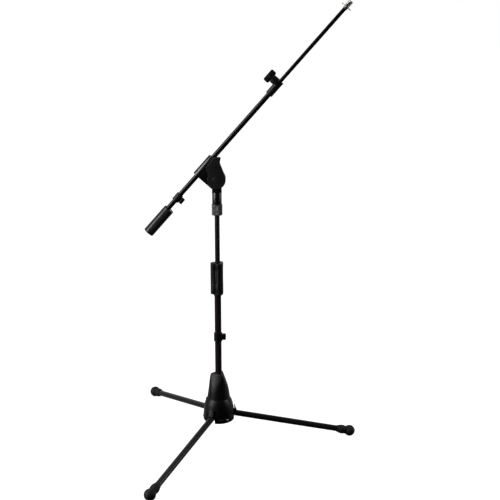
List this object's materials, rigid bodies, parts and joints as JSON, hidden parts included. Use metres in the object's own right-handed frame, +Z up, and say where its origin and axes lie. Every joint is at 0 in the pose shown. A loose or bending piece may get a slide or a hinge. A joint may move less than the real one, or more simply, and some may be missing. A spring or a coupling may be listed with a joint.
{
  "type": "boom microphone stand",
  "caption": "Folding tripod microphone stand with a telescoping column and a tilting, panning, telescoping counterweighted boom that ends in a threaded stud.",
  "frame": {"origin": "on the floor, at the middle of the rectangle that the three feet take up", "axes": "+Z up, the boom reaches along +X above one leg, +Y to the left of the boom"},
  "size_m": [0.732, 0.8054, 1.4385],
  "materials": {
    "base_plastic": "satin black moulding",
    "knuckle_plastic": "matte black moulding",
    "grip_plastic": "fine grained black moulding",
    "clip_plastic": "satin black moulding",
    "inner_plastic": "natural nylon",
    "black_tube": "satin black powder coat",
    "foot_rubber": "matte black rubber",
    "cast_swivel": "black painted casting",
    "cast_lever": "worn black painted casting",
    "satin_nut": "satin grey knurled",
    "plated_steel": "bright nickel plate",
    "small_screws": "dark zinc plate"
  },
  "bodies": {
    "base": {"base_skirt": "base_plastic", "base_upper_shell": "base_plastic", "base_bottom_plate": "base_plastic", "leg_hub": "knuckle_plastic", "leg_hinge_pins": "plated_steel", "base_rim_screws": "small_screws", "base_seam_screws": "small_screws", "lower_column_tube": "black_tube", "column_bushing": "grip_plastic", "clutch_collar": "grip_plastic", "clutch_body": "grip_plastic", "clutch_collet": "inner_plastic"},
    "leg_right": {"leg_knuckle_right": "knuckle_plastic", "leg_tube_right": "black_tube", "foot_right": "foot_rubber"},
    "leg_back": {"leg_knuckle_back": "knuckle_plastic", "leg_tube_back": "black_tube", "foot_back": "foot_rubber"},
    "leg_front": {"leg_knuckle_front": "knuckle_plastic", "leg_tube_front": "black_tube", "foot_front": "foot_rubber"},
    "clutch_grip": {"clutch_grip": "grip_plastic"},
    "upper_column": {"upper_column_tube": "black_tube", "upper_tube_guide": "inner_plastic", "column_stud": "plated_steel"},
    "ring_nut": {"ring_nut": "satin_nut"},
    "swivel_head": {"swivel_head": "cast_swivel"},
    "boom_cradle": {"boom_cradle_near": "cast_swivel", "boom_cradle_far": "cast_swivel", "boom_liner": "inner_plastic", "friction_washers": "inner_plastic", "pivot_bolt": "plated_steel", "lever_thrust_washer": "plated_steel"},
    "lock_lever": {"tilt_lock_lever": "cast_lever", "lever_nut": "plated_steel", "lever_cap": "grip_plastic"},
    "outer_boom": {"outer_boom_tube": "black_tube", "counterweight": "black_tube", "counterweight_screw": "small_screws", "boom_clamp_body": "grip_plastic"},
    "wing_knob": {"clamp_wing_knob": "grip_plastic", "clamp_screw": "plated_steel"},
    "inner_boom": {"inner_boom_tube": "black_tube", "inner_boom_guide": "inner_plastic", "tip_stud": "plated_steel"},
    "tip_lock_ring": {"tip_lock_ring": "plated_steel"},
    "column_clip": {"column_cable_clip": "clip_plastic"},
    "boom_clip": {"boom_cable_clip": "clip_plastic"}
  },
  "joints": [
    {"name": "leg_right_fold", "type": "hinge", "parent": "base", "child": "leg_right", "pos_m": [-0.06423, 0.01953, 0.102], "axis": [-0.0767, 0.9971, 0], "range_deg": [0, 78]},
    {"name": "leg_back_fold", "type": "hinge", "parent": "base", "child": "leg_back", "pos_m": [-0.11422, 0.04347, 0.102], "axis": [-0.8251, -0.565, 0], "range_deg": [0, 78]},
    {"name": "leg_front_fold", "type": "hinge", "parent": "base", "child": "leg_front", "pos_m": [-0.10997, -0.01179, 0.102], "axis": [0.9018, -0.4321, 0], "range_deg": [0, 78]},
    {"name": "clutch_turn", "type": "hinge", "parent": "base", "child": "clutch_grip", "pos_m": [-0.09614, 0.01707, 0.569], "axis": [0, 0, 1], "range_deg": [0, 90]},
    {"name": "column_height", "type": "slide", "parent": "base", "child": "upper_column", "axis": [0, 0, 1], "range_m": [-0.025, 0.4]},
    {"name": "ring_nut_turn", "type": "hinge", "parent": "upper_column", "child": "ring_nut", "pos_m": [-0.09614, 0.01707, 0.796], "axis": [0, 0, 1], "continuous": true},
    {"name": "boom_pan", "type": "hinge", "parent": "upper_column", "child": "swivel_head", "pos_m": [-0.09614, 0.01707, 0.836], "axis": [0, 0, 1], "continuous": true},
    {"name": "boom_tilt", "type": "hinge", "parent": "swivel_head", "child": "boom_cradle", "pos_m": [-0.09614, 0.01707, 0.8943], "axis": [0, -1, 0], "range_deg": [-78, 31]},
    {"name": "tilt_lock_turn", "type": "hinge", "parent": "boom_cradle", "child": "lock_lever", "pos_m": [-0.09614, -0.00443, 0.8943], "axis": [0, -1, 0], "range_deg": [0, 70]},
    {"name": "boom_length", "type": "slide", "parent": "boom_cradle", "child": "outer_boom", "axis": [0.6639, 0, 0.7478], "range_m": [-0.255, 0.07]},
    {"name": "inner_boom_length", "type": "slide", "parent": "outer_boom", "child": "inner_boom", "axis": [0.6639, 0, 0.7478], "range_m": [-0.28, 0.23]},
    {"name": "wing_knob_turn", "type": "hinge", "parent": "outer_boom", "child": "wing_knob", "pos_m": [0.07264, 0.01707, 1.20941], "axis": [-0.7478, 0, 0.6639], "range_deg": [0, 180]},
    {"name": "tip_ring_turn", "type": "hinge", "parent": "inner_boom", "child": "tip_lock_ring", "pos_m": [0.29777, 0.01707, 1.4178], "axis": [0.6639, 0, 0.7478], "continuous": true},
    {"name": "column_clip_turn", "type": "hinge", "parent": "base", "child": "column_clip", "pos_m": [-0.09614, 0.01707, 0.369], "axis": [0, 0, 1], "continuous": true},
    {"name": "boom_clip_turn", "type": "hinge", "parent": "outer_boom", "child": "boom_clip", "pos_m": [-0.22009, 0.01707, 0.83452], "axis": [0.6639, 0, 0.7478], "continuous": true}
  ]
}
